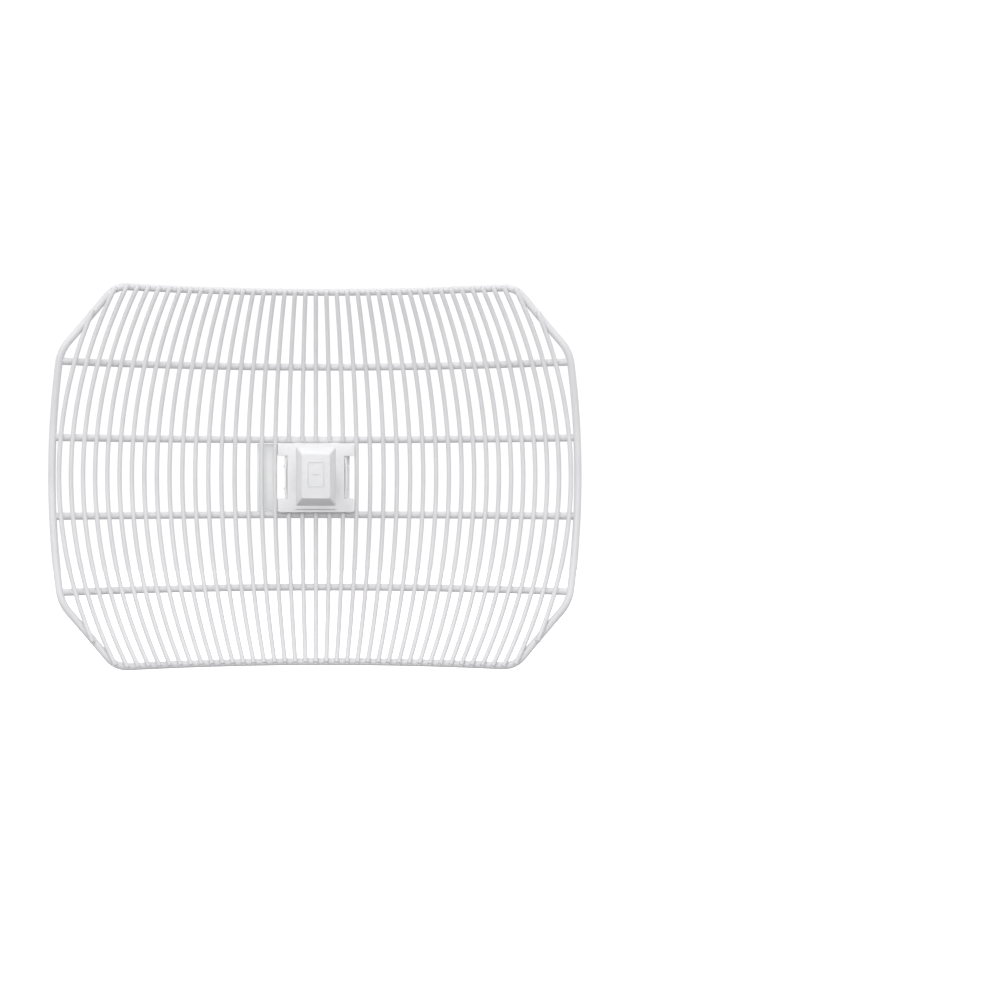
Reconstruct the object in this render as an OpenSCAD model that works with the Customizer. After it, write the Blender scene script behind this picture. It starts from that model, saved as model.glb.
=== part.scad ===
// Parabolic wire grid antenna with a slide-in feed and a tilting L-bracket.
// The dish opens towards -Y, +X is to the right as seen by the feed, and +Z is up.
// Every module is drawn about the dish's vertex. at_pivot() then moves it, so that the origin
// of the part is the middle of the bracket's pivot hole.

/* [Grid] */
// Focal length of the surface that the thin wires lie on
focal_l = 228; // [222:1:236]
// Height between the centre-lines of the top and bottom edges
grid_h = 426.5; // [424:0.5:430]
// Width between the centre-lines of the two sides, at mid height
grid_w = 592.5; // [590:0.5:595]
// Length of the straight top and bottom edges, corner to corner
edge_w = 448; // [446:1:450]
// Width at the outer ends of the corner chamfers
shoulder_w = 568.5; // [567:0.5:571]
// Height between the outer ends of the corner chamfers
shoulder_h = 281.5; // [279:0.5:285]
// Diameter of the thin wires
wire_d = 5.25; // [4.5:0.25:5.5]
// Diameter of the rim and the rails
rail_d = 8.5; // [8:0.25:8.5]
// Height of the inner rails above and below the middle
inner_rail_z = 44.3; // [44.3:0.1:45]
// Height of the outer rails above and below the middle
outer_rail_z = 129.1; // [127:0.1:131]
// Distance between neighbouring thin wires along the top edge, at the middle
wire_pitch = 11.88; // [11.7:0.02:12]
// How far the outermost thin wire is drawn in from an even pitch, as a share
fan_squeeze = 0.018; // [0.01:0.002:0.03]
// Distance in front of the vertex of the upright line that all the wires' planes share
fan_dist = 189; // [186:1:194]
// Height at which the outermost thin wire meets the corner chamfer
corner_wire_z = 184; // [182:1:186]
// How deep the resistance welds sink a thin wire into a rail
weld_bite = 0.6; // [0.4:0.1:0.8]

/* [Feed mount] */
// Half the width of the mount
mount_x = 44.6; // [44:0.2:44.8]
// Half the height of the mount, which fits between the inner rails
mount_z = 39.3; // [38.5:0.1:39.5]
// How far the mount stands in front of the vertex
mount_front = 9; // [8:0.5:10]
// Half the distance between the bolts, across
bolt_x = 33; // [32:0.5:34]
// Half the distance between the bolts, up
bolt_z = 33.5; // [32:0.5:34]
// Half the height of a latch pocket
pocket_z = 25; // [24:0.5:25]
// Distance of a latch pocket's floor from the middle
pocket_x = 31; // [30:0.5:31.5]

/* [Bracket] */
// Thickness of the bracket's steel plate
plate_t = 2.5; // [2:0.5:3]
// Distance of the ear's inner face from the middle
ear_x = 67; // [65:1:70]
// How far back the ear reaches
ear_back = 131; // [129:1:135]
// Distance of the pivot hole behind the vertex
pivot_back = 57; // [56:0.5:58]
// Depth of the pivot hole below the middle
pivot_drop = 24.6; // [24:0.2:25]
// Radius of the pivot hole
pivot_r = 4.5; // [4:0.25:4.5]
// Radius of the tilt slot's centre-line about the pivot
slot_r = 63; // [62:0.5:64]
// Width of the tilt slot
slot_w = 8.5; // [7:0.5:8.5]
// Angle that the tilt slot covers
slot_deg = 30; // [25:1:32]

/* [Feed] */
// Distance of the feed head's face in front of the vertex
face_front = 228; // [224:1:232]
// Outer radius of the feed tube
tube_r = 17.5; // [17:0.25:17.5]
// Wall of the feed tube
tube_wall = 1.6; // [1.5:0.1:1.8]
// Outer radius of the rear housing
housing_r = 22; // [22:0.1:22]
// How far back the rear housing reaches
housing_back = 62; // [61:0.5:62]

/* [Hidden] */
$fn = 64;
eps = 0.1;

// The grid
wire_n = 20;
cut_wires = 2;
sweep_sides = 12;
half_h = grid_h / 2;
edge_rise = half_h * half_h / (4 * focal_l);
bow_r = (half_h * half_h + edge_rise * edge_rise) / (2 * edge_rise);
weld_gap = wire_d / 2 + rail_d / 2 - weld_bite;
side_sag = (grid_w - shoulder_w) / 2;
side_r = (pow(shoulder_h / 2, 2) + side_sag * side_sag) / (2 * side_sag);
corner_cut = 14;
cut_z = inner_rail_z - 2;

// The mount and its latches
mount_back = 6;
mount_round = 3;
bore_r = housing_r + 0.3;
collar_half = 25;
collar_tip = 15.7;
collar_back = 31;
keyway_half = 6.6;
keyway_top = 24.8;
plate_back = -4.6;
plate_drop = 2;
pocket_lip_x = 33.4;
pocket_lip_y = -7.2;
hook_x = 19.5;
hook_half = 7;
hook_foot = 36;
hook_top = inner_rail_z + 3;
hook_back = 11;
collar_front = mount_back + plate_t;
drain_half = 23.5;
drain_z = -38.2;
insert_r = 4.3;
insert_front = -6;
bolt_r = 3;
latch_axis_x = 34.6;
latch_axis_y = -3;
latch_out = 37;
latch_t = 2;
latch_bow_r = 180;
latch_front = -7;
latch_back = 4;
pin_r = 1;

// The bracket
flange_y = mount_back;
cutout_z = 27;
cutout_left = -47;
cutout_right = 35;
flange_right = 40;
ear_top = 39.4;
ear_bottom = -42;
ear_big_r = 32;
ear_small_r = 10;
pivot = [-(ear_x + plate_t / 2), pivot_back, -pivot_drop];

// The feed
rim_front = face_front - 21;
head_back = rim_front - 4;
neck_front = head_back - 8;
neck_back = neck_front - 85;
face_size = [29, 46];
rim_size = [42, 62];
neck_size = [36, 50];
neck_end = [24.6, 24.6];
shell = 2;
tube_in = tube_r - tube_wall;
housing_in = housing_r - shell;
lip_r = 23.3;
lip_y = -mount_front - 0.1;
tube_end = lip_y + 2;
cap_end = housing_back + 4;
board_top = 2.6;
board_t = 1.6;
board_half = 14;
board_front = -105;
board_back = 50;
carrier_y = 20;
screw_x = 11;
jack_half = 8;
jack_low = -12.5;
jack_front = 28;
socket_half = 6;
seal_y = 49.5;
skirt_front = 47;
window_front = 54;
tab_half = 6;
reset_at = [8, 0, 5];

white_steel = [0.86, 0.87, 0.88];
white_plastic = [0.95, 0.95, 0.95];
silver = [0.75, 0.75, 0.78];
plate_grey = [0.88, 0.9, 0.89];
dark_steel = [0.45, 0.46, 0.47];

function unit(v) = v / norm(v);
function steps(a, b, n) = [for (i = [0:n - 1]) a + (b - a) * i / n];
function bend(a, c, b, n) =
    [for (i = [0:n - 1]) let (s = i / n) (1 - s) * (1 - s) * a + 2 * s * (1 - s) * c + s * s * b];

// How far forward of the vertex the wires' surface is, at a height and at a place
function arc_rise(z) = bow_r - sqrt(bow_r * bow_r - z * z);
function depth(x, z) = x * x / (4 * focal_l) + arc_rise(z);

// Rim and rails lie behind the surface by the weld gap, measured square to the surface
function steepness(x, z) = sqrt(1 + pow(x / (2 * focal_l), 2) + z * z / (bow_r * bow_r - z * z));
function behind(x, z) = [x, weld_gap * steepness(x, z) - depth(x, z), z];

// A thin wire's plane, and the distance of its middle and ends from the line the planes share
function top_x(i) = wire_pitch * i * (1 - fan_squeeze * pow(i / wire_n, 2));
function wire_top(i) = i < wire_n - 1 ? half_h : i < wire_n ? half_h - 3 : corner_wire_z;
function slope(i) = top_x(i) / (fan_dist - depth(top_x(i), half_h));
function wire_x(i, z) = i == 0 ? 0 : let (q = slope(i) / (4 * focal_l))
    (sqrt(1 + 4 * q * (fan_dist - arc_rise(z)) * slope(i)) - 1) / (2 * q);
function reach(i, z) = (fan_dist - depth(wire_x(i, z), z)) / cos(atan(slope(i)));

// The rim's outline, one quarter of it from the top's middle round to the side's middle
function side_x(z) = grid_w / 2 - side_r + sqrt(side_r * side_r - z * z);
corner_a = [edge_w / 2, half_h];
corner_b = [shoulder_w / 2, shoulder_h / 2];
chamfer_dir = unit(corner_b - corner_a);
side_top = shoulder_h / 2 - corner_cut;
quarter = concat(
    steps([0, half_h], [edge_w / 2 - corner_cut, half_h], 9),
    bend([edge_w / 2 - corner_cut, half_h], corner_a, corner_a + chamfer_dir * corner_cut, 5),
    steps(corner_a + chamfer_dir * corner_cut, corner_b - chamfer_dir * corner_cut, 4),
    bend(corner_b - chamfer_dir * corner_cut, corner_b, [side_x(side_top), side_top], 5),
    [for (i = [0:7]) [side_x(side_top * (1 - i / 7)), side_top * (1 - i / 7)]]
);
last = len(quarter) - 1;
outline = concat(
    [for (i = [0:last - 1]) quarter[i]],
    [for (i = [last:-1:1]) [quarter[i][0], -quarter[i][1]]],
    [for (i = [0:last - 1]) -quarter[i]],
    [for (i = [last:-1:1]) [-quarter[i][0], quarter[i][1]]]
);

module at_pivot() {
    translate(-pivot) children();
}

// A round bar along a path. Its sections are turned by the path's own direction.
module bar(path, d, closed = false) {
    n = len(path);
    s = sweep_sides;
    rings = [for (i = [0:n - 1])
        let (a = closed ? path[(i + n - 1) % n] : path[max(i - 1, 0)])
        let (b = closed ? path[(i + 1) % n] : path[min(i + 1, n - 1)])
        let (t = unit(b - a), side = unit(cross(t, [0, 1, 0])), up = cross(side, t))
        for (k = [0:s - 1]) path[i] + d / 2 * (cos(360 * k / s) * side + sin(360 * k / s) * up)];
    walls = [for (i = [0:closed ? n - 1 : n - 2])
        let (j = (i + 1) % n)
        for (k = [0:s - 1])
        let (m = (k + 1) % s)
        for (f = [[i * s + k, i * s + m, j * s + m], [i * s + k, j * s + m, j * s + k]]) f];
    ends = closed ? [] : [
        [for (k = [s - 1:-1:0]) k],
        [for (k = [0:s - 1]) (n - 1) * s + k]
    ];
    polyhedron(points = rings, faces = concat(walls, ends));
}

// Draws its children standing up: their Z becomes the part's -Y, so Y in a sketch is height
module facing_front(y) {
    translate([0, y, 0]) rotate([90, 0, 0]) children();
}

// A round solid along Y, from y0 back to y1
module along_y(r, y0, y1, r_back = -1) {
    translate([0, y1, 0]) rotate([90, 0, 0]) cylinder(r1 = r_back < 0 ? r : r_back, r2 = r, h = y1 - y0);
}

module block(x0, x1, y0, y1, z0, z1) {
    translate([x0, y0, z0]) cube([x1 - x0, y1 - y0, z1 - z0]);
}

module rounded(size, r) {
    for (x = [-1, 1], z = [-1, 1])
        translate([x * (size[0] / 2 - r), z * (size[1] / 2 - r)]) circle(r, $fn = 32);
    square([size[0] - 2 * r, size[1]], center = true);
    square([size[0], size[1] - 2 * r], center = true);
}

// A tapered oblong solid between two sizes
module taper(size_a, y_a, size_b, y_b, r = 2) {
    hull() {
        facing_front(y_a + 0.01) linear_extrude(0.01) rounded(size_a, r);
        facing_front(y_b) linear_extrude(0.01) rounded(size_b, r);
    }
}

// ---- The grid

module rim_frame() {
    color(white_steel) bar([for (p = outline) behind(p[0], p[1])], rail_d, true);
}

// A rail's ends stop inside the rim bar
module rail(z) {
    end_x = side_x(abs(z)) - rail_d / 4;
    n = 34;
    color(white_steel) bar([for (i = [0:n]) behind(end_x * (2 * i / n - 1), z)], rail_d);
}

// One thin wire, bent to a true arc in its own plane. Low and high are heights on the wire.
module wire_arc(i, low, high) {
    mid = reach(i, 0);
    end = reach(i, wire_top(i));
    sag = mid - end;
    r = (pow(wire_top(i), 2) + sag * sag) / (2 * sag);
    from = asin(low / r);
    translate([0, -fan_dist, 0])
        rotate([0, 0, 90 - atan(slope(i))])
        rotate([90, 0, 0])
        translate([mid - r, 0, 0])
        rotate([0, 0, from])
        rotate_extrude(angle = asin(high / r) - from)
        translate([r, 0])
        circle(d = wire_d, $fn = 24);
}

module wire(i) {
    if (i <= cut_wires) {
        wire_arc(i, cut_z, wire_top(i));
        wire_arc(i, -wire_top(i), -cut_z);
    } else {
        wire_arc(i, -wire_top(i), wire_top(i));
    }
}

module wire_pair(i) {
    color(white_steel) {
        wire(i);
        mirror([1, 0, 0]) wire(i);
    }
}

module wire_centre() {
    color(white_steel) wire(0);
}

// ---- The mount

// The path of an inner rail across the mount, used to cut the grooves in the hooks
module rail_groove(z) {
    translate([0, weld_gap - arc_rise(z) - 2 * focal_l, z])
        rotate([0, 0, 82])
        rotate_extrude(angle = 16)
        translate([2 * focal_l, 0])
        circle(r = rail_d / 2 + 0.2, $fn = 32);
}

module mount_body() {
    facing_front(mount_back) linear_extrude(mount_front + mount_back)
        rounded([2 * mount_x, 2 * mount_z], mount_round);
    facing_front(plate_back) linear_extrude(mount_front + plate_back)
        translate([0, -plate_drop / 2])
        rounded([2 * mount_x, 2 * mount_z + plate_drop], mount_round);
    for (s = [-1, 1], x = [-hook_x, hook_x])
        block(x - hook_half, x + hook_half, 1, hook_back, min(s * hook_top, s * hook_foot),
            max(s * hook_top, s * hook_foot));
    facing_front(collar_front) linear_extrude(plate_t + 1)
        square(2 * collar_half, center = true);
    translate([0, collar_front, 0]) rotate([-90, 0, 0]) rotate([0, 0, 45])
        cylinder(r1 = collar_half * sqrt(2), r2 = collar_tip * sqrt(2),
            h = collar_back - collar_front, $fn = 4);
}

module feed_mount() {
    color(white_plastic) difference() {
        mount_body();
        along_y(bore_r, -mount_front - 1, collar_back + 1);
        block(-keyway_half, keyway_half, -mount_front - 1, collar_front, 0, keyway_top);
        block(-keyway_half, keyway_half, collar_front - eps, collar_back + 1, 0, collar_half + 1);
        for (s = [-1, 1]) {
            rail_groove(s * inner_rail_z);
            block(min(s * pocket_lip_x, s * 50), max(s * pocket_lip_x, s * 50), -mount_front - 1,
                pocket_lip_y + eps, -pocket_z, pocket_z);
            block(min(s * pocket_x, s * 50), max(s * pocket_x, s * 50), pocket_lip_y,
                mount_back + 1, -pocket_z, pocket_z);
            block(min(s * 15, s * 32), max(s * 15, s * 32), -0.6, mount_back + eps, -9, 9);
            translate([s * latch_axis_x, latch_axis_y, -pocket_z - 4])
                cylinder(r = pin_r, h = 2 * pocket_z + 8, $fn = 24);
        }
        for (x = [-1, 1], z = [-1, 1])
            translate([x * bolt_x, 0, z * bolt_z]) along_y(insert_r, insert_front, mount_back + 1);
        block(-drain_half, drain_half, -mount_front - 1, plate_back - 0.4, drain_z - 0.7,
            drain_z + 0.7);
    }
}

module thread_inserts() {
    color("goldenrod") for (x = [-1, 1], z = [-1, 1]) translate([x * bolt_x, 0, z * bolt_z])
        difference() {
            along_y(insert_r, insert_front, mount_back);
            along_y(bolt_r + 0.02, insert_front + 1.5, mount_back + 1);
        }
}

// A rocker latch: its bowed pad turns on an upright pin, and its tooth swings away from the feed
module latch() {
    mid_x = latch_out - latch_bow_r;
    difference() {
        union() {
            intersection() {
                translate([mid_x, latch_back, 0]) rotate([90, 0, 0])
                    linear_extrude(latch_back - latch_front) difference() {
                        circle(latch_bow_r, $fn = 256);
                        circle(latch_bow_r - latch_t, $fn = 256);
                    }
                block(pocket_x, latch_out + 1, latch_front, latch_back, 1 - pocket_z, pocket_z - 1);
            }
            translate([latch_axis_x, latch_axis_y, 0.4 - pocket_z])
                cylinder(r = 2.2, h = 2 * pocket_z - 0.8, $fn = 32);
            block(housing_r + 0.4, latch_out - 1, 0, 3, -6, 6);
            for (z = [-13, 13])
                translate([latch_out - 1, (latch_front + latch_back) / 2, z])
                    rotate([0, 90, 0]) cylinder(r = 1.6, h = 2.2, $fn = 24);
        }
        translate([latch_axis_x, latch_axis_y, -pocket_z])
            cylinder(r = pin_r + 0.06, h = 2 * pocket_z, $fn = 24);
    }
}

module latch_left() {
    color(white_plastic) mirror([1, 0, 0]) latch();
}

module latch_right() {
    color(white_plastic) latch();
}

module latch_pins() {
    color(dark_steel) for (s = [-1, 1]) translate([s * latch_axis_x, latch_axis_y, -pocket_z - 4])
        cylinder(r = pin_r, h = 2 * pocket_z + 8, $fn = 24);
}

// ---- The bracket

// The ear's outline. Sketch X is distance back from the vertex, and sketch Y is height.
module ear_outline() {
    difference() {
        union() {
            translate([flange_y, ear_bottom])
                square([ear_back - flange_y - ear_big_r, ear_top - ear_bottom]);
            translate([ear_back - ear_big_r, ear_top - ear_big_r]) circle(ear_big_r, $fn = 96);
            translate([ear_back - ear_big_r - 1, ear_bottom + ear_small_r])
                square([ear_big_r + 1, ear_top - ear_big_r - ear_bottom - ear_small_r]);
            translate([ear_back - ear_big_r - 1, ear_bottom])
                square([ear_big_r + 1 - ear_small_r, ear_small_r + 1]);
            translate([ear_back - ear_small_r, ear_bottom + ear_small_r]) circle(ear_small_r);
        }
        for (z = [ear_top, ear_bottom])
            translate([flange_y + plate_t + 1, z]) circle(1.6, $fn = 24);
    }
}

// The tilt slot, drawn about the pivot hole's centre
module slot_outline() {
    intersection() {
        difference() {
            circle(slot_r + slot_w / 2, $fn = 128);
            circle(slot_r - slot_w / 2, $fn = 128);
        }
        polygon([[0, 0], [90, 0], [90 * cos(slot_deg), 90 * sin(slot_deg)]]);
    }
    for (a = [0, slot_deg])
        rotate(a) translate([slot_r, 0]) circle(d = slot_w, $fn = 32);
}

module bracket() {
    color(plate_grey) difference() {
        union() {
            translate([-ear_x - plate_t, 0, 0]) rotate([90, 0, 90]) linear_extrude(plate_t)
                ear_outline();
            difference() {
                union() {
                    block(-ear_x - eps, -49.5, flange_y, flange_y + plate_t, -41, ear_top);
                    block(-50.5, flange_right, flange_y, flange_y + plate_t, -38.9, 38.9);
                }
                facing_front(flange_y + plate_t + 1)
                    translate([(cutout_left + cutout_right) / 2, 0]) linear_extrude(plate_t + 2)
                    rounded([cutout_right - cutout_left, 2 * cutout_z], 4);
            }
        }
        for (x = [-1, 1], z = [-1, 1])
            translate([x * bolt_x, 0, z * bolt_z])
                along_y(bolt_r + 0.3, flange_y - 1, flange_y + plate_t + 1);
        for (s = [-1, 1], x = [-hook_x, hook_x])
            block(x - hook_half - 0.3, x + hook_half + 0.3, flange_y - 1, flange_y + plate_t + 1,
                min(s * (hook_foot - 0.3), s * 40), max(s * (hook_foot - 0.3), s * 40));
        translate([-ear_x - plate_t - 1, pivot_back, -pivot_drop]) rotate([0, 90, 0])
            cylinder(r = pivot_r, h = plate_t + 2);
        translate([-ear_x - plate_t - 1, pivot_back, -pivot_drop]) rotate([90, 0, 90])
            linear_extrude(plate_t + 2) slot_outline();
    }
}

// Hex bolts with a flanged head, which clamp the bracket's flange to the mount
module bracket_bolts() {
    head_y = flange_y + plate_t;
    color(dark_steel) for (x = [-1, 1], z = [-1, 1]) translate([x * bolt_x, 0, z * bolt_z]) {
        along_y(bolt_r, insert_front + 2.5, head_y + 1);
        along_y(6.2, head_y, head_y + 1.2);
        translate([0, head_y + 6, 0]) rotate([90, 0, 0]) cylinder(r = 5.6, h = 5, $fn = 6);
    }
}

// ---- The feed: head

module feed_head() {
    color(white_plastic) difference() {
        union() {
            taper(face_size, -face_front, rim_size, -rim_front);
            facing_front(-head_back) linear_extrude(rim_front - head_back) rounded(rim_size, 2);
        }
        taper(face_size - [2 * shell, 2 * shell], shell - face_front,
            rim_size - [2 * shell, 2 * shell], -rim_front);
        facing_front(1 - head_back) linear_extrude(rim_front - head_back + 1)
            rounded(rim_size - [2 * shell, 2 * shell], 1);
    }
}

// A plain raised plate with one bar across it
module head_badge() {
    color(white_plastic) facing_front(-face_front) {
        linear_extrude(0.5) translate([0, 2]) {
            difference() {
                rounded([17.5, 26.5], 1);
                rounded([15.1, 24.1], 0.6);
            }
            square([7, 1.4], center = true);
        }
    }
}

module head_seal() {
    color("dimgray") facing_front(-head_back) linear_extrude(1.2) difference() {
        rounded([rim_size[0] - 2 * shell - 0.1, rim_size[1] - 2 * shell - 0.1], 1);
        rounded([rim_size[0] - 2 * shell - 3, rim_size[1] - 2 * shell - 3], 1);
    }
}

module splash_plate() {
    color(silver) facing_front(-rim_front - 12) linear_extrude(1) rounded([22, 36], 2);
}

module element_holder() {
    color("ivory") facing_front(-rim_front + 1) linear_extrude(13) square([10, 16], center = true);
}

module dipole() {
    color("goldenrod") facing_front(-rim_front + 2) linear_extrude(1) for (s = [-1, 1])
        translate([0, s * 10.5]) square([5, 19], center = true);
}

module feed_line() {
    color("goldenrod") translate([0, 0, board_top - board_t / 2])
        along_y(2.2, -rim_front + 2, board_front);
}

// ---- The feed: tube and housing

module feed_tube() {
    color(silver) difference() {
        union() {
            taper(rim_size, -head_back, neck_size, -neck_front);
            taper(neck_size, -neck_front, neck_end, -neck_back, 1);
            along_y(tube_r, -neck_front - 1, tube_end);
        }
        along_y(tube_in, -neck_front - 2, tube_end + 1);
        taper(rim_size - [2 * shell + 2, 2 * shell + 2], -head_back - eps,
            [31, 38], -neck_front + 1);
    }
}

module rear_housing() {
    color(silver) difference() {
        union() {
            along_y(tube_r + 1, lip_y - 7, lip_y - 1.9, housing_r);
            along_y(lip_r, lip_y - 2, lip_y);
            along_y(housing_r, lip_y - eps, housing_back);
        }
        along_y(tube_r, lip_y - 8, tube_end + eps);
        along_y(housing_in, tube_end, housing_back + 1);
        block(-tab_half - 0.5, tab_half + 0.5, window_front, housing_back + 1, 15, 30);
    }
}

module board_carrier() {
    color("dimgray") difference() {
        union() {
            difference() {
                along_y(housing_in - 0.05, carrier_y, carrier_y + 6);
                along_y(16, carrier_y - 1, carrier_y + 7);
            }
            for (s = [-1, 1])
                block(min(s * 9, s * 17), max(s * 9, s * 17), carrier_y, carrier_y + 6, -5,
                    board_top - board_t);
        }
        for (x = [-1, 1])
            translate([x * screw_x, carrier_y + 3, -4]) cylinder(r = 1, h = 6, $fn = 24);
    }
}

module radio_board() {
    color("darkgreen") difference() {
        block(-board_half, board_half, board_front, board_back, board_top - board_t, board_top);
        for (x = [-1, 1])
            translate([x * screw_x, carrier_y + 3, 0]) cylinder(r = 1.1, h = 6, $fn = 24);
    }
}

module shield_can() {
    color(silver) difference() {
        block(-11, 11, -80, -28, board_top, board_top + 4);
        block(-10.6, 10.6, -79.6, -28.4, board_top - eps, board_top + 3.6);
    }
}

module board_screws() {
    color(dark_steel) for (x = [-1, 1]) translate([x * screw_x, carrier_y + 3, 0]) {
        translate([0, 0, -4]) cylinder(r = 1, h = board_top + 4.5, $fn = 24);
        translate([0, 0, board_top]) cylinder(r = 2, h = 1.2, $fn = 24);
    }
}

module ethernet_jack() {
    color("silver") difference() {
        block(-jack_half, jack_half, jack_front, board_back, jack_low, board_top - board_t);
        block(-socket_half, socket_half, jack_front + 6, board_back + 1, jack_low + 2, -2.5);
    }
}

module status_leds() {
    color("palegreen") for (x = [-9, -6, -3, 0])
        block(x - 0.8, x + 0.8, board_back - 2.4, board_back - 0.4, board_top, board_top + 1.2);
}

module reset_switch() {
    color("dimgray") translate(reset_at) difference() {
        block(-2.5, 2.5, 43, 49, board_top - reset_at[2], 2.4);
        along_y(1.6, 44.5, 50);
    }
}

module reset_button() {
    color("black") translate(reset_at) along_y(1.4, 45.4, 51);
}

module rear_cap() {
    color(silver) difference() {
        union() {
            along_y(housing_r, housing_back + 0.1, cap_end);
            along_y(housing_in - 0.3, skirt_front, housing_back + 0.2);
        }
        along_y(housing_in - 2.5, skirt_front - 1, cap_end - shell);
        rotate([90, 0, 0]) translate([0, 0, -seal_y - 1]) rotate_extrude() translate([18.2, 0])
            square([3, 2]);
        translate([0, 0, -6]) along_y(5, cap_end - shell - 1, cap_end + 1);
        block(-tab_half - 0.5, tab_half + 0.5, window_front, cap_end + 1, 15, 30);
    }
}

module cap_seal() {
    color("dimgray") translate([0, seal_y, 0]) rotate([90, 0, 0]) rotate_extrude()
        translate([19.05, 0]) circle(0.8, $fn = 24);
}

// A catch plate in the housing's window, with a leg down the back of the cap to press
module cap_tab() {
    color(dark_steel) {
        block(-tab_half, tab_half, window_front + 1, cap_end + 2, 21, 23);
        block(-tab_half, tab_half, cap_end + 0.3, cap_end + 2, 16.5, 22);
    }
}

at_pivot() rim_frame();
at_pivot() rail(outer_rail_z);  // rail_upper_outer
at_pivot() rail(inner_rail_z);  // rail_upper_inner
at_pivot() rail(-inner_rail_z);  // rail_lower_inner
at_pivot() rail(-outer_rail_z);  // rail_lower_outer
at_pivot() wire_centre();
for (i = [1:wire_n]) at_pivot() wire_pair(i);
at_pivot() feed_mount();
at_pivot() thread_inserts();
at_pivot() latch_left();
at_pivot() latch_right();
at_pivot() latch_pins();
at_pivot() bracket();
at_pivot() bracket_bolts();
at_pivot() feed_head();
at_pivot() head_badge();
at_pivot() head_seal();
at_pivot() splash_plate();
at_pivot() element_holder();
at_pivot() dipole();
at_pivot() feed_line();
at_pivot() feed_tube();
at_pivot() rear_housing();
at_pivot() board_carrier();
at_pivot() radio_board();
at_pivot() shield_can();
at_pivot() board_screws();
at_pivot() ethernet_jack();
at_pivot() status_leds();
at_pivot() reset_switch();
at_pivot() reset_button();
at_pivot() rear_cap();
at_pivot() cap_seal();
at_pivot() cap_tab();
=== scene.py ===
"""Looks of a parabolic wire grid antenna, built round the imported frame.

The dish points towards -Y. Lengths are written in millimetres and turned to metres by MM.
"""

import math

import bmesh
import bpy
from mathutils import Matrix, Vector


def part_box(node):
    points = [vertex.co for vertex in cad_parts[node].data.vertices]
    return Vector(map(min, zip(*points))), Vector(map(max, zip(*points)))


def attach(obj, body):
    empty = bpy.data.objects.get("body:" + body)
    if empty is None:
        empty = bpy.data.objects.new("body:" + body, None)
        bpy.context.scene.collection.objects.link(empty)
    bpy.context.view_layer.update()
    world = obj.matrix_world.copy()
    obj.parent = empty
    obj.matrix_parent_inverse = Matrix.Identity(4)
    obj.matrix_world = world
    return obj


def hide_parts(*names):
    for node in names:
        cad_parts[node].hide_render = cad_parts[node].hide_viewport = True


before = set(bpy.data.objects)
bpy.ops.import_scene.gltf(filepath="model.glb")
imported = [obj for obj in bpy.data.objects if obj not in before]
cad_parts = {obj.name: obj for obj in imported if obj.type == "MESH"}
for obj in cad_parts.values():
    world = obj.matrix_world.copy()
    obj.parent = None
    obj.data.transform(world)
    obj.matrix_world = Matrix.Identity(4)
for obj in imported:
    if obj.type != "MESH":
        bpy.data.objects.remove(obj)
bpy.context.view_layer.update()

MM = 0.001
ROOT = "grid_and_mount"
FEED = "feed"

# ---- Sizes, in millimetres, which repeat the design's driving dimensions

FOCAL = 228
HALF_HEIGHT = 213.25
GRID_WIDTH = 592.5
EDGE_WIDTH = 448
SHOULDER_WIDTH = 568.5
SHOULDER_HEIGHT = 281.5
CORNER_CUT = 14
WIRE_D = 5.25
RAIL_D = 8.5
INNER_RAIL_Z = 44.3
OUTER_RAIL_Z = 129.1
WIRE_COUNT = 20
WIRE_PITCH = 11.88
FAN_SQUEEZE = 0.018
FAN_DISTANCE = 189
CORNER_WIRE_Z = 184
LAST_TOP_DROP = 3
CUT_WIRES = 2
CUT_OVERHANG = 2
WELD_BITE = 0.6
MOUNT_FRONT = 9

# The dish's vertex: in the middle of the mount, and behind its front
mount_low, mount_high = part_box("feed_mount")
VERTEX = (mount_low + mount_high) / 2
VERTEX.y = mount_low.y + MOUNT_FRONT * MM


def place(x, y, z):
    """A point given in millimetres from the vertex."""
    return VERTEX + Vector((x, y, z)) * MM


# ---- The dish's surface and its wires

EDGE_RISE = HALF_HEIGHT**2 / (4 * FOCAL)
BOW_RADIUS = (HALF_HEIGHT**2 + EDGE_RISE**2) / (2 * EDGE_RISE)
WELD_GAP = WIRE_D / 2 + RAIL_D / 2 - WELD_BITE
SIDE_SAG = (GRID_WIDTH - SHOULDER_WIDTH) / 2
SIDE_RADIUS = ((SHOULDER_HEIGHT / 2) ** 2 + SIDE_SAG**2) / (2 * SIDE_SAG)


def arc_rise(z):
    return BOW_RADIUS - math.sqrt(BOW_RADIUS**2 - z * z)


def depth(x, z):
    """How far in front of the vertex the wires' surface is."""
    return x * x / (4 * FOCAL) + arc_rise(z)


def surface_normal(x, z):
    """Square to the surface, towards the back."""
    return Vector((x / (2 * FOCAL), 1, z / math.sqrt(BOW_RADIUS**2 - z * z))).normalized()


def behind(x, z):
    """The centre-line of a rail or the rim, whose bar touches the backs of the wires."""
    return Vector((x, WELD_GAP / surface_normal(x, z).y - depth(x, z), z))


def top_x(i):
    return WIRE_PITCH * i * (1 - FAN_SQUEEZE * (i / WIRE_COUNT) ** 2)


def wire_top(i):
    """A wire's height at its ends, which the cut corners lower on the last two."""
    if i < WIRE_COUNT - 1:
        return HALF_HEIGHT
    return HALF_HEIGHT - LAST_TOP_DROP if i < WIRE_COUNT else CORNER_WIRE_Z


def fan_slope(i):
    return top_x(i) / (FAN_DISTANCE - depth(top_x(i), HALF_HEIGHT))


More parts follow.
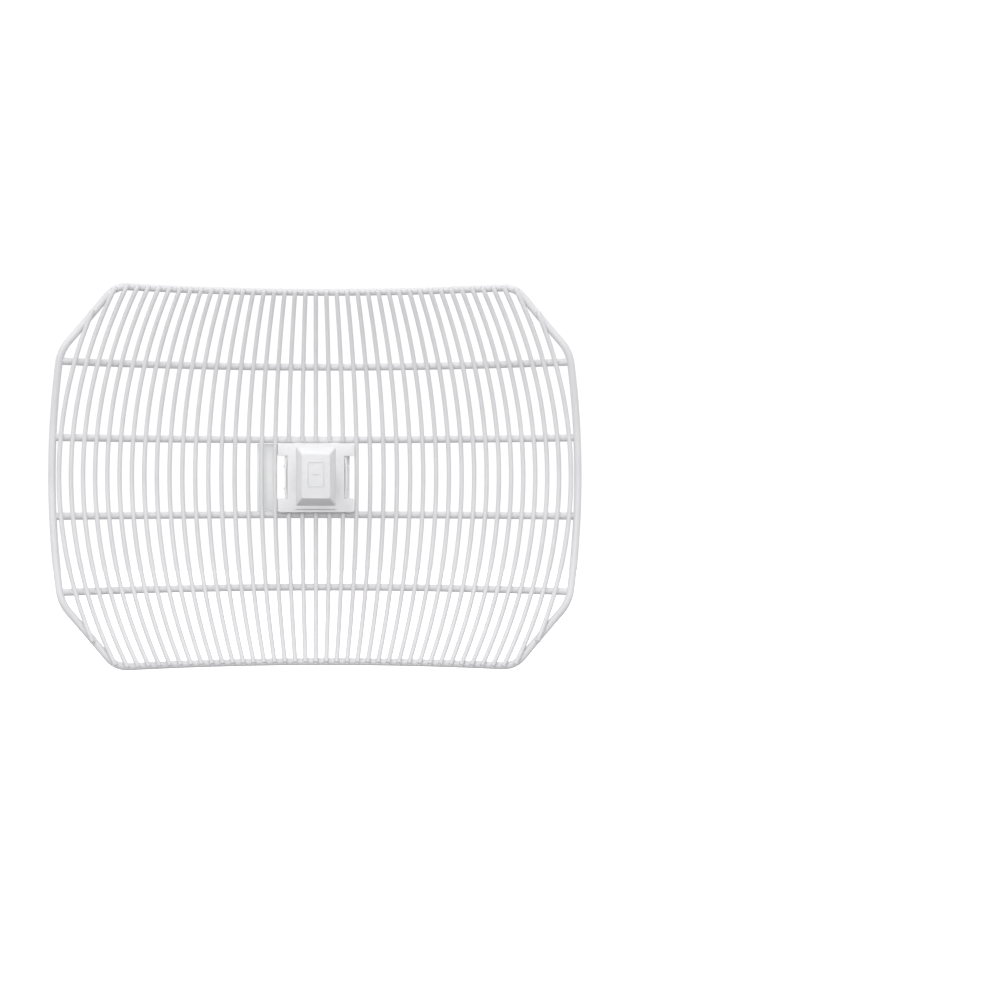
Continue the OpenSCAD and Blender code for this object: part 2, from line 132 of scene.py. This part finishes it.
def wire_x(i, z):
    """How far a wire is from the middle, at a height."""
    if i == 0:
        return 0.0
    q = fan_slope(i) / (4 * FOCAL)
    return (math.sqrt(1 + 4 * q * (FAN_DISTANCE - arc_rise(z)) * fan_slope(i)) - 1) / (2 * q)


def wire_reach(i, z):
    """A wire's distance from the upright line that all the wires' planes share."""
    return (FAN_DISTANCE - depth(wire_x(i, z), z)) / math.cos(math.atan(fan_slope(i)))


def side_x(z):
    return GRID_WIDTH / 2 - SIDE_RADIUS + math.sqrt(SIDE_RADIUS**2 - z * z)


# ---- Small tools for modelling


def deselect():
    if bpy.context.object and bpy.context.object.mode != "OBJECT":
        bpy.ops.object.mode_set(mode="OBJECT")
    bpy.ops.object.select_all(action="DESELECT")


def pick(piece):
    deselect()
    piece.select_set(True)
    bpy.context.view_layer.objects.active = piece


def edit(piece, mode="FACE"):
    """Opens a piece in edit mode with nothing selected."""
    pick(piece)
    bpy.ops.object.mode_set(mode="EDIT")
    bpy.ops.mesh.select_mode(type=mode)
    bpy.ops.mesh.select_all(action="DESELECT")


def done_editing():
    bpy.ops.object.mode_set(mode="OBJECT")


def settle(piece):
    """Puts a piece's place into its mesh."""
    pick(piece)
    bpy.ops.object.transform_apply(location=True, rotation=True, scale=True)


def apply_modifiers(piece):
    pick(piece)
    for modifier in list(piece.modifiers):
        bpy.ops.object.modifier_apply(modifier=modifier.name)


def bevel(piece, width, segments=2, angle=35):
    rounding = piece.modifiers.new("rounded edges", "BEVEL")
    rounding.width = width * MM
    rounding.segments = segments
    rounding.limit_method = "ANGLE"
    rounding.angle_limit = math.radians(angle)
    rounding.use_clamp_overlap = True
    rounding.harden_normals = False
    apply_modifiers(piece)


def smooth(piece, angle=32):
    pick(piece)
    bpy.ops.object.shade_smooth_by_angle(angle=math.radians(angle))


def joined(pieces):
    deselect()
    for piece in pieces:
        piece.select_set(True)
    bpy.context.view_layer.objects.active = pieces[0]
    if len(pieces) > 1:
        bpy.ops.object.join()
    return bpy.context.object


def mirrored(piece):
    """A copy of a piece on the other side of the dish, with its faces turned outwards."""
    pick(piece)
    bpy.ops.object.duplicate()
    twin = bpy.context.object
    twin.matrix_world = (
        Matrix.Translation((2 * VERTEX.x, 0, 0)) @ Matrix.Scale(-1, 4, (1, 0, 0)) @ twin.matrix_world
    )
    settle(twin)
    edit(twin)
    bpy.ops.mesh.select_all(action="SELECT")
    bpy.ops.mesh.normals_make_consistent(inside=False)
    done_editing()
    return twin


def finished(piece, name, body, slot_name, material, *nodes, angle=32):
    """Names a piece, shades it, gives it its finish and sets what it rides on and stands for."""
    settle(piece)
    smooth(piece, angle)
    piece.name = name
    piece.data.name = name
    piece.data.materials.clear()
    piece.data.materials.append(material)
    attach(piece, body)
    if nodes:
        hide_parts(*nodes)
    return piece


# ---- Materials


def linear(hex_colour):
    """An sRGB hex colour as linear RGBA."""
    channels = [int(hex_colour[k : k + 2], 16) / 255 for k in (1, 3, 5)]
    return [c / 12.92 if c <= 0.04045 else ((c + 0.055) / 1.055) ** 2.4 for c in channels] + [1.0]


def add_node(tree, kind, settings=None, links=None, feeds=None):
    """Adds a node with its settings, the links into it and the sockets that it feeds."""
    new = tree.nodes.new(kind)
    for key, value in (settings or {}).items():
        if hasattr(new, key):
            setattr(new, key, value)
        else:
            new.inputs[key].default_value = value
    for key, source in (links or {}).items():
        tree.links.new(source, new.inputs[key])
    for key, socket in (feeds or {}).items():
        tree.links.new(new.outputs[key], socket)
    return new


def per_mm(size):
    """The scale of a pattern on Object coordinates, in metres, whose features are size mm."""
    return 1000 / size


def new_material(name, colour, metallic, roughness, **sockets):
    """A named material with a shader, and Object coordinates ready for its patterns."""
    material = bpy.data.materials.new(name)
    material.use_nodes = True
    tree = material.node_tree
    tree.nodes.clear()
    shader = add_node(
        tree,
        "ShaderNodeBsdfPrincipled",
        {"Base Color": linear(colour), "Metallic": metallic, "Roughness": roughness},
    )
    for socket, value in sockets.items():
        shader.inputs[socket.replace("_", " ")].default_value = value
    add_node(tree, "ShaderNodeOutputMaterial", links={"Surface": shader.outputs["BSDF"]})
    coords = add_node(tree, "ShaderNodeTexCoord")
    return material, tree, shader, coords.outputs["Object"]


def two_tones(dark, light):
    """Two close tones for a pattern to move between."""
    return ((0.3, linear(dark)), (0.7, linear(light)))


def set_stops(ramp, stops):
    """Gives a colour ramp its stops, from first to last: positions and linear colours."""
    elements = ramp.color_ramp.elements
    for element, (position, colour) in zip(elements, (stops[0], stops[-1])):
        element.position, element.color = position, colour
    for position, colour in stops[1:-1]:
        elements.new(position).color = colour


def powder_coat(name, light, dark, peel_mm, roughness):
    """Powder coat on steel: baked, satin, with a fine orange peel and faint cloudiness."""
    material, tree, shader, coords = new_material(name, light, 0.0, roughness, Coat_Weight=0.15)
    shader.inputs["Coat Roughness"].default_value = 0.3
    peel = add_node(
        tree,
        "ShaderNodeTexNoise",
        {"Scale": per_mm(peel_mm), "Detail": 3.0, "Roughness": 0.5},
        {"Vector": coords},
    )
    cloud = add_node(
        tree, "ShaderNodeTexNoise", {"Scale": per_mm(45), "Detail": 4.0}, {"Vector": coords}
    )
    ramp = add_node(
        tree,
        "ShaderNodeValToRGB",
        links={"Fac": cloud.outputs["Fac"]},
        feeds={"Color": shader.inputs["Base Color"]},
    )
    set_stops(ramp, two_tones(dark, light))
    add_node(
        tree,
        "ShaderNodeMapRange",
        {"To Min": roughness - 0.06, "To Max": roughness + 0.08},
        {"Value": peel.outputs["Fac"]},
        {"Result": shader.inputs["Roughness"]},
    )
    add_node(
        tree,
        "ShaderNodeBump",
        {"Strength": 0.25, "Distance": 0.08 * MM},
        {"Height": peel.outputs["Fac"]},
        {"Normal": shader.inputs["Normal"]},
    )
    return material


def moulded(name, light, dark, grain_mm, roughness, depth_mm=0.03):
    """Injection-moulded plastic: spark-eroded grain from the tool, and slow flow marks."""
    material, tree, shader, coords = new_material(name, light, 0.0, roughness, IOR=1.5)
    grain = add_node(
        tree,
        "ShaderNodeTexVoronoi",
        {"Scale": per_mm(grain_mm), "feature": "SMOOTH_F1"},
        {"Vector": coords},
    )
    flow = add_node(
        tree,
        "ShaderNodeTexNoise",
        {"Scale": per_mm(18), "Detail": 3.0, "Distortion": 1.5},
        {"Vector": coords},
    )
    ramp = add_node(
        tree,
        "ShaderNodeValToRGB",
        links={"Fac": flow.outputs["Fac"]},
        feeds={"Color": shader.inputs["Base Color"]},
    )
    set_stops(ramp, two_tones(dark, light))
    add_node(
        tree,
        "ShaderNodeMapRange",
        {"To Min": roughness - 0.05, "To Max": roughness + 0.06},
        {"Value": flow.outputs["Fac"]},
        {"Result": shader.inputs["Roughness"]},
    )
    add_node(
        tree,
        "ShaderNodeBump",
        {"Strength": 0.35, "Distance": depth_mm * MM},
        {"Height": grain.outputs["Distance"]},
        {"Normal": shader.inputs["Normal"]},
    )
    return material


def bright_plated(name, light, dark, roughness):
    """Bright plated tube: clear reflections, softened by faint polishing lines round it."""
    material, tree, shader, coords = new_material(name, light, 1.0, roughness)
    mapping = add_node(
        tree, "ShaderNodeMapping", {"Scale": (0.08, 1.0, 0.08)}, {"Vector": coords}
    )
    lines = add_node(
        tree,
        "ShaderNodeTexNoise",
        {"Scale": per_mm(0.8), "Detail": 2.0},
        {"Vector": mapping.outputs["Vector"]},
    )
    haze = add_node(
        tree, "ShaderNodeTexNoise", {"Scale": per_mm(22), "Detail": 4.0}, {"Vector": coords}
    )
    ramp = add_node(
        tree,
        "ShaderNodeValToRGB",
        links={"Fac": haze.outputs["Fac"]},
        feeds={"Color": shader.inputs["Base Color"]},
    )
    set_stops(ramp, two_tones(dark, light))
    add_node(
        tree,
        "ShaderNodeMapRange",
        {"To Min": roughness - 0.04, "To Max": roughness + 0.06},
        {"Value": haze.outputs["Fac"]},
        {"Result": shader.inputs["Roughness"]},
    )
    add_node(
        tree,
        "ShaderNodeBump",
        {"Strength": 0.08, "Distance": 0.02 * MM},
        {"Height": lines.outputs["Fac"]},
        {"Normal": shader.inputs["Normal"]},
    )
    return material


def grained_metal(name, light, dark, roughness, grain_mm=0.6):
    """Zinc or tin plate, or bare brass: a fine grain in the surface breaks up the gloss."""
    material, tree, shader, coords = new_material(name, light, 1.0, roughness)
    crystals = add_node(
        tree, "ShaderNodeTexVoronoi", {"Scale": per_mm(grain_mm)}, {"Vector": coords}
    )
    ramp = add_node(
        tree,
        "ShaderNodeValToRGB",
        links={"Fac": crystals.outputs["Distance"]},
        feeds={"Color": shader.inputs["Base Color"]},
    )
    set_stops(ramp, two_tones(light, dark))
    add_node(
        tree,
        "ShaderNodeMapRange",
        {"To Min": roughness - 0.08, "To Max": roughness + 0.12},
        {"Value": crystals.outputs["Distance"]},
        {"Result": shader.inputs["Roughness"]},
    )
    add_node(
        tree,
        "ShaderNodeBump",
        {"Strength": 0.12, "Distance": 0.02 * MM},
        {"Height": crystals.outputs["Distance"]},
        {"Normal": shader.inputs["Normal"]},
    )
    return material


def rubber(name, colour, roughness):
    """Black sealing rubber: matt, with a fine moulded grain."""
    material, tree, shader, coords = new_material(name, colour, 0.0, roughness)
    grain = add_node(
        tree, "ShaderNodeTexNoise", {"Scale": per_mm(0.5), "Detail": 4.0}, {"Vector": coords}
    )
    add_node(
        tree,
        "ShaderNodeBump",
        {"Strength": 0.4, "Distance": 0.04 * MM},
        {"Height": grain.outputs["Fac"]},
        {"Normal": shader.inputs["Normal"]},
    )
    return material


def circuit_board():
    """Epoxy-glass board: green solder mask over copper tracks, which show as paler strips."""
    material, tree, shader, coords = new_material("solder_mask", "#1F6B3A", 0.0, 0.3)
    tracks = add_node(
        tree,
        "ShaderNodeTexBrick",
        {
            "Scale": per_mm(9),
            "Mortar Size": 0.035,
            "Color1": linear("#1B5F33"),
            "Color2": linear("#1F6B3A"),
            "Mortar": linear("#3F8F58"),
        },
        {"Vector": coords},
        {"Color": shader.inputs["Base Color"]},
    )
    add_node(
        tree,
        "ShaderNodeBump",
        {"Strength": 0.3, "Distance": 0.04 * MM},
        {"Height": tracks.outputs["Fac"]},
        {"Normal": shader.inputs["Normal"]},
    )
    return material


WIRE_COAT = powder_coat("powder_coat_on_wire", "#E5E4E5", "#DFDEE0", 1.2, 0.42)
PLATE_COAT = powder_coat("powder_coat_on_plate", "#F7F8F7", "#F1F3F2", 1.6, 0.45)
WHITE_ASA = moulded("white_asa_moulding", "#F5F5F5", "#F0F0F0", 0.7, 0.5)
GREY_ASA = moulded("pale_grey_asa_moulding", "#EBEBEC", "#E5E5E7", 0.7, 0.46)
BADGE_ASA = moulded("grey_asa_badge_moulding", "#DDDDDF", "#D8D8DA", 0.7, 0.46)
TAB_NYLON = moulded("grey_nylon_moulding", "#9C9CA0", "#929296", 0.6, 0.5)
BLACK_NYLON = moulded("black_nylon_moulding", "#1C1C1D", "#161617", 0.6, 0.5)
NATURAL_NYLON = moulded("natural_nylon_moulding", "#E6DFC9", "#DDD5BC", 0.6, 0.45)
CHROME = bright_plated("bright_chrome_plate", "#D6D6DC", "#CDCDD4", 0.16)
ZINC = grained_metal("zinc_plated_steel", "#A9ABAE", "#8F9194", 0.34)
TIN = grained_metal("tin_plate", "#CFD1D3", "#BFC1C4", 0.3)
BRASS = grained_metal("turned_brass", "#D9B765", "#C7A452", 0.28, 0.4)
EPDM = rubber("sealing_rubber", "#1B1B1C", 0.75)
SOLDER_MASK = circuit_board()
LED_CLEAR = moulded("clear_lamp_moulding", "#D8F3D4", "#CFEFCB", 2.0, 0.2, 0.0)


# ---- Camera and light

# The eye is a little below the dish's axis, and the rails' spread gives its distance. A small turn
# and a small shift put the dish left of the middle and a little above it.
EYE_DISTANCE = 1938.6
EYE_BELOW = 8
EYE_TURN = math.radians(1.365)
EYE_DROP = math.radians(0.56)
LENS = 59.08
LENS_SHIFT = 0.145


def add_camera():
    deselect()
    bpy.ops.object.camera_add(
        location=place(0, -EYE_DISTANCE, -EYE_BELOW),
        rotation=(math.pi / 2 - EYE_DROP, 0, -EYE_TURN),
    )
    camera = bpy.context.object
    camera.name = "camera"
    camera.data.sensor_width = 36
    camera.data.lens = LENS
    camera.data.shift_x = LENS_SHIFT
    camera.data.clip_start = 0.05
    camera.data.clip_end = 60
    bpy.context.scene.camera = camera


# The studio's tone from straight below to straight above, each a height and a linear colour
STUDIO_TONES = (
    (0.0, (0.44, 0.44, 0.45, 1)),
    (0.34, (0.52, 0.52, 0.5252, 1)),
    (0.5, (0.88, 0.88, 0.8888, 1)),
    (0.62, (1, 1, 1.01, 1)),
    (1.0, (1, 1, 1.01, 1)),
)


def add_world():
    """Surroundings paler above than below, so that undersides are shaded, and white to the eye."""
    world = bpy.data.worlds.new("studio")
    bpy.context.scene.world = world
    world.use_nodes = True
    tree = world.node_tree
    tree.nodes.clear()
    coords = add_node(tree, "ShaderNodeTexCoord")
    height = add_node(tree, "ShaderNodeSeparateXYZ", links={"Vector": coords.outputs["Generated"]})
    share = add_node(
        tree,
        "ShaderNodeMapRange",
        {"From Min": -1.0, "From Max": 1.0},
        {"Value": height.outputs["Z"]},
    )
    ramp = add_node(tree, "ShaderNodeValToRGB", links={"Fac": share.outputs["Result"]})
    set_stops(ramp, STUDIO_TONES)
    soft = add_node(tree, "ShaderNodeBackground", {"Strength": 0.92}, {"Color": ramp.outputs["Color"]})
    plain = add_node(tree, "ShaderNodeBackground", {"Color": (1, 1, 1, 1), "Strength": 1.05})
    path = add_node(tree, "ShaderNodeLightPath")
    mix = add_node(tree, "ShaderNodeMixShader")
    tree.links.new(path.outputs["Is Camera Ray"], mix.inputs[0])
    tree.links.new(soft.outputs["Background"], mix.inputs[1])
    tree.links.new(plain.outputs["Background"], mix.inputs[2])
    add_node(tree, "ShaderNodeOutputWorld", links={"Surface": mix.outputs["Shader"]})


def add_light(name, where, size, power):
    """A round soft light, its size in metres, which faces the vertex."""
    deselect()
    bpy.ops.object.light_add(type="AREA", location=where)
    light = bpy.context.object
    light.name = name
    light.data.shape = "DISK"
    light.data.size = size
    light.data.energy = power
    light.rotation_euler = (VERTEX - where).to_track_quat("-Z", "Y").to_euler()


# The floor's width, and how far it is below the vertex
FLOOR_SIZE = 30000
FLOOR_DROP = 900


def add_floor():
    deselect()
    bpy.ops.mesh.primitive_plane_add(size=FLOOR_SIZE * MM, location=place(0, 0, -FLOOR_DROP))
    floor = bpy.context.object
    floor.name = "floor"
    material, _, shader, _ = new_material("pale_floor", "#FFFFFF", 0.0, 0.9)
    shader.inputs["Emission Color"].default_value = linear("#FFFFFF")
    shader.inputs["Emission Strength"].default_value = 0.6
    floor.data.materials.append(material)
    floor.visible_glossy = False
    floor.visible_diffuse = False


add_camera()
add_world()
add_light("key", place(-400, -2200, 900), size=2.4, power=20)
add_light("back", place(300, 1500, 1200), size=1.4, power=5)
add_light("overhead", place(0, -200, 2600), size=3.0, power=4)
add_floor()
bpy.context.scene.view_settings.view_transform = "Standard"


# ---- The grid

# The length of one straight step of a wire, the rounding of its ends, and the steps in a rail
WIRE_STEP = 10
WIRE_END_ROUND = 0.5
RAIL_STEPS = 60


def bent_wire(i, low, high):
    """One thin wire: a disc spun about the centre of the wire's arc, with softened ends."""
    middle = wire_reach(i, 0)
    sag = middle - wire_reach(i, wire_top(i))
    radius = (wire_top(i) ** 2 + sag**2) / (2 * sag)
    start, stop = math.asin(low / radius), math.asin(high / radius)
    deselect()
    bpy.ops.mesh.primitive_circle_add(
        vertices=16,
        radius=WIRE_D / 2 * MM,
        fill_type="NGON",
        location=(radius * MM, 0, 0),
        rotation=(math.pi / 2, 0, 0),
    )
    wire = bpy.context.object
    settle(wire)
    edit(wire)
    bpy.ops.mesh.select_all(action="SELECT")
    steps = max(8, round((high - low) / WIRE_STEP))
    bpy.ops.mesh.spin(steps=steps, angle=start - stop, center=(0, 0, 0), axis=(0, 0, 1))
    bpy.ops.mesh.select_all(action="SELECT")
    bpy.ops.mesh.normals_make_consistent(inside=False)
    bpy.ops.mesh.select_all(action="DESELECT")
    mesh = bmesh.from_edit_mesh(wire.data)
    for face in mesh.faces:
        face.select_set(len(face.verts) > 4)
    bmesh.update_edit_mesh(wire.data)
    bpy.ops.mesh.bevel(offset=WIRE_END_ROUND * MM, segments=2, affect="EDGES")
    done_editing()
    wire.matrix_world = (
        Matrix.Translation(place(0, -FAN_DISTANCE, 0))
        @ Matrix.Rotation(math.pi / 2 - math.atan(fan_slope(i)), 4, "Z")
        @ Matrix.Rotation(math.pi / 2, 4, "X")
        @ Matrix.Translation(((middle - radius) * MM, 0, 0))
        @ Matrix.Rotation(start, 4, "Z")
    )
    settle(wire)
    return wire


def wire_pieces(i):
    """A wire whole, or in two where it is cut to leave the opening for the mount."""
    high = wire_top(i)
    if i <= CUT_WIRES:
        gap = INNER_RAIL_Z - CUT_OVERHANG
        return [bent_wire(i, gap, high), bent_wire(i, -high, -gap)]
    return [bent_wire(i, -high, high)]


def make_wires():
    centre = joined(wire_pieces(0))
    finished(centre, "thin_wire_centre", ROOT, "grid_wire", WIRE_COAT, "wire_centre", angle=40)
    for i in range(1, WIRE_COUNT + 1):
        right = wire_pieces(i)
        pair = joined(right + [mirrored(wire) for wire in right])
        name = f"thin_wires_{i}"
        finished(pair, name, ROOT, "grid_wire", WIRE_COAT, f"wire_pair_{i}", angle=40)


def swept_bar(points, name, closed=False):
    """A round bar bent along points, made as a curve and turned into a mesh."""
    curve = bpy.data.curves.new(name, "CURVE")
    curve.dimensions = "3D"
    curve.bevel_depth = RAIL_D / 2 * MM
    curve.bevel_resolution = 5
    curve.use_fill_caps = True
    spline = curve.splines.new("POLY")
    spline.points.add(len(points) - 1)
    spline.use_cyclic_u = closed
    for k, point in enumerate(points):
        spline.points[k].co = (*place(*point), 1)
    bar = bpy.data.objects.new(name, curve)
    bpy.context.scene.collection.objects.link(bar)
    pick(bar)
    bpy.ops.object.convert(target="MESH")
    return bpy.context.object


RAILS = {
    "rail_upper_outer": OUTER_RAIL_Z,
    "rail_upper_inner": INNER_RAIL_Z,
    "rail_lower_inner": -INNER_RAIL_Z,
    "rail_lower_outer": -OUTER_RAIL_Z,
}


def straight(a, b, count):
    """Evenly spaced values from a up to b, without b."""
    return [a + (b - a) * k / count for k in range(count)]


def bend(a, corner, b, count):
    """Points that round a corner from a up to b, without b."""
    shares = [k / count for k in range(count)]
    return [(1 - s) ** 2 * a + 2 * s * (1 - s) * corner + s * s * b for s in shares]


def rim_quarter():
    """The rim's outline from the middle of the top round to the middle of the side."""
    a = Vector((EDGE_WIDTH / 2, HALF_HEIGHT))
    b = Vector((SHOULDER_WIDTH / 2, SHOULDER_HEIGHT / 2))
    along = (b - a).normalized() * CORNER_CUT
    before_a = a - Vector((CORNER_CUT, 0))
    side_top = SHOULDER_HEIGHT / 2 - CORNER_CUT
    heights = straight(side_top, 0, 14) + [0]
    return (
        straight(Vector((0, HALF_HEIGHT)), before_a, 18)
        + bend(before_a, a, a + along, 9)
        + straight(a + along, b - along, 7)
        + bend(b - along, b, Vector((side_x(side_top), side_top)), 9)
        + [Vector((side_x(z), z)) for z in heights]
    )


def rim_outline():
    """The whole rim, from its quarter turned over both ways."""
    quarter = rim_quarter()
    there = [(p.x, p.y) for p in quarter[:-1]]
    back = [(p.x, p.y) for p in reversed(quarter[1:])]
    return (
        there
        + [(x, -z) for x, z in back]
        + [(-x, -z) for x, z in there]
        + [(-x, z) for x, z in back]
    )


def make_bars():
    rim = swept_bar([behind(x, z) for x, z in rim_outline()], "rim", closed=True)
    finished(rim, "rim_bar", ROOT, "grid_wire", WIRE_COAT, "rim_frame", angle=60)
    for node, z in RAILS.items():
        end = side_x(abs(z)) - RAIL_D / 4
        spots = straight(-end, end, RAIL_STEPS) + [end]
        bar = swept_bar([behind(x, z) for x in spots], node)
        finished(bar, f"{node}_bar", ROOT, "grid_wire", WIRE_COAT, node, angle=60)


# Half of a bead's width, depth and height, and how far the rim's beads lie inside the wires' ends
BEAD = (3.4, 1.4, 3.0)
BEAD_INSET = 1


def wire_sides():
    """Every thin wire as a side and a number, from the middle outwards."""
    return [(1, 0)] + [(side, i) for i in range(1, WIRE_COUNT + 1) for side in (1, -1)]


def weld_bead():
    """The small collar of metal squeezed out where two bars are welded."""
    deselect()
    bpy.ops.mesh.primitive_uv_sphere_add(segments=10, ring_count=6, radius=1)
    bead = bpy.context.object
    bead.scale = [half * MM for half in BEAD]
    settle(bead)
    return bead


def make_welds():
    """A bead at every crossing, one piece for each rail and one for the rim."""
    master = weld_bead()
    crossings = {}
    for node, z in RAILS.items():
        crossings[node] = [(side * wire_x(i, abs(z)), z) for side, i in wire_sides()]
    crossings["rim_frame"] = [
        (side * wire_x(i, wire_top(i)), end * (wire_top(i) - BEAD_INSET))
        for side, i in wire_sides()
        for end in (1, -1)
    ]
    for node, spots in crossings.items():
        beads = []
        for x, z in spots:
            normal = surface_normal(x, z)
            bead = master.copy()
            bead.data = master.data.copy()
            bpy.context.scene.collection.objects.link(bead)
            on_wire = Vector((x, -depth(x, z), z)) + normal * (WIRE_D / 2 - WELD_BITE / 2)
            turn = Vector((0, 1, 0)).rotation_difference(normal).to_matrix().to_4x4()
            bead.matrix_world = Matrix.Translation(place(*on_wire)) @ turn
            beads.append(bead)
        welds = joined(beads)
        finished(welds, f"welds_{node}", ROOT, "grid_wire", WIRE_COAT, angle=60)
    bpy.data.objects.remove(master)


make_wires()
make_bars()
make_welds()


# ---- Pieces that follow a design part's own shape, with their edges rounded

# Corners this close, in millimetres, become one, and so do faces that meet this flat
MERGE_WITHIN = 0.004
FLAT_WITHIN = math.radians(0.6)


def refined(node, name, body, slot_name, material, width, segments=2, angle=35):
    """A copy of a design part with its loose triangles merged and its edges rounded."""
    deselect()
    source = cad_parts[node]
    piece = bpy.data.objects.new(name, source.data.copy())
    bpy.context.scene.collection.objects.link(piece)
    edit(piece, "VERT")
    bpy.ops.mesh.select_all(action="SELECT")
    bpy.ops.mesh.customdata_custom_splitnormals_clear()
    bpy.ops.mesh.remove_doubles(threshold=MERGE_WITHIN * MM)
    bpy.ops.mesh.dissolve_limited(angle_limit=FLAT_WITHIN)
    done_editing()
    if width:
        bevel(piece, width, segments, angle)
    return finished(piece, name, body, slot_name, material, node, angle=angle)


refined("feed_mount", "mount_moulding", ROOT, "mount_plastic", WHITE_ASA, 0.45)
refined("latch_left", "left_latch_moulding", "latch_left", "mount_plastic", WHITE_ASA, 0.3)
refined("latch_right", "right_latch_moulding", "latch_right", "mount_plastic", WHITE_ASA, 0.3)
refined("bracket", "bracket_pressing", ROOT, "bracket_steel", PLATE_COAT, 0.5)
refined("bracket_bolts", "flange_bolts", ROOT, "zinc_steel", ZINC, 0.35)
refined("feed_head", "head_moulding", FEED, "head_plastic", GREY_ASA, 0.7, 3)
refined("head_badge", "plain_badge", FEED, "head_plastic", BADGE_ASA, 0.15)
refined("feed_tube", "tube_and_neck", FEED, "tube_chrome", CHROME, 0.5, 3)
refined("rear_housing", "housing_shell", FEED, "tube_chrome", CHROME, 0.5, 3)
refined("rear_cap", "rear_cap_shell", "rear_cap", "tube_chrome", CHROME, 0.5, 3)
refined("cap_tab", "cap_tab_moulding", "cap_tab", "tab_plastic", TAB_NYLON, 0.4)

# ---- Inner and small parts keep their own shape and get their finish

FINISHES = {
    "thread_inserts": BRASS,
    "latch_pins": ZINC,
    "head_seal": EPDM,
    "splash_plate": TIN,
    "element_holder": NATURAL_NYLON,
    "dipole": BRASS,
    "feed_line": BRASS,
    "board_carrier": BLACK_NYLON,
    "radio_board": SOLDER_MASK,
    "shield_can": TIN,
    "board_screws": ZINC,
    "ethernet_jack": TIN,
    "status_leds": LED_CLEAR,
    "reset_switch": BLACK_NYLON,
    "reset_button": BLACK_NYLON,
    "cap_seal": EPDM,
}
for node_name, finish in FINISHES.items():
    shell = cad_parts[node_name]
    shell.data.materials.clear()
    shell.data.materials.append(finish)

deselect()
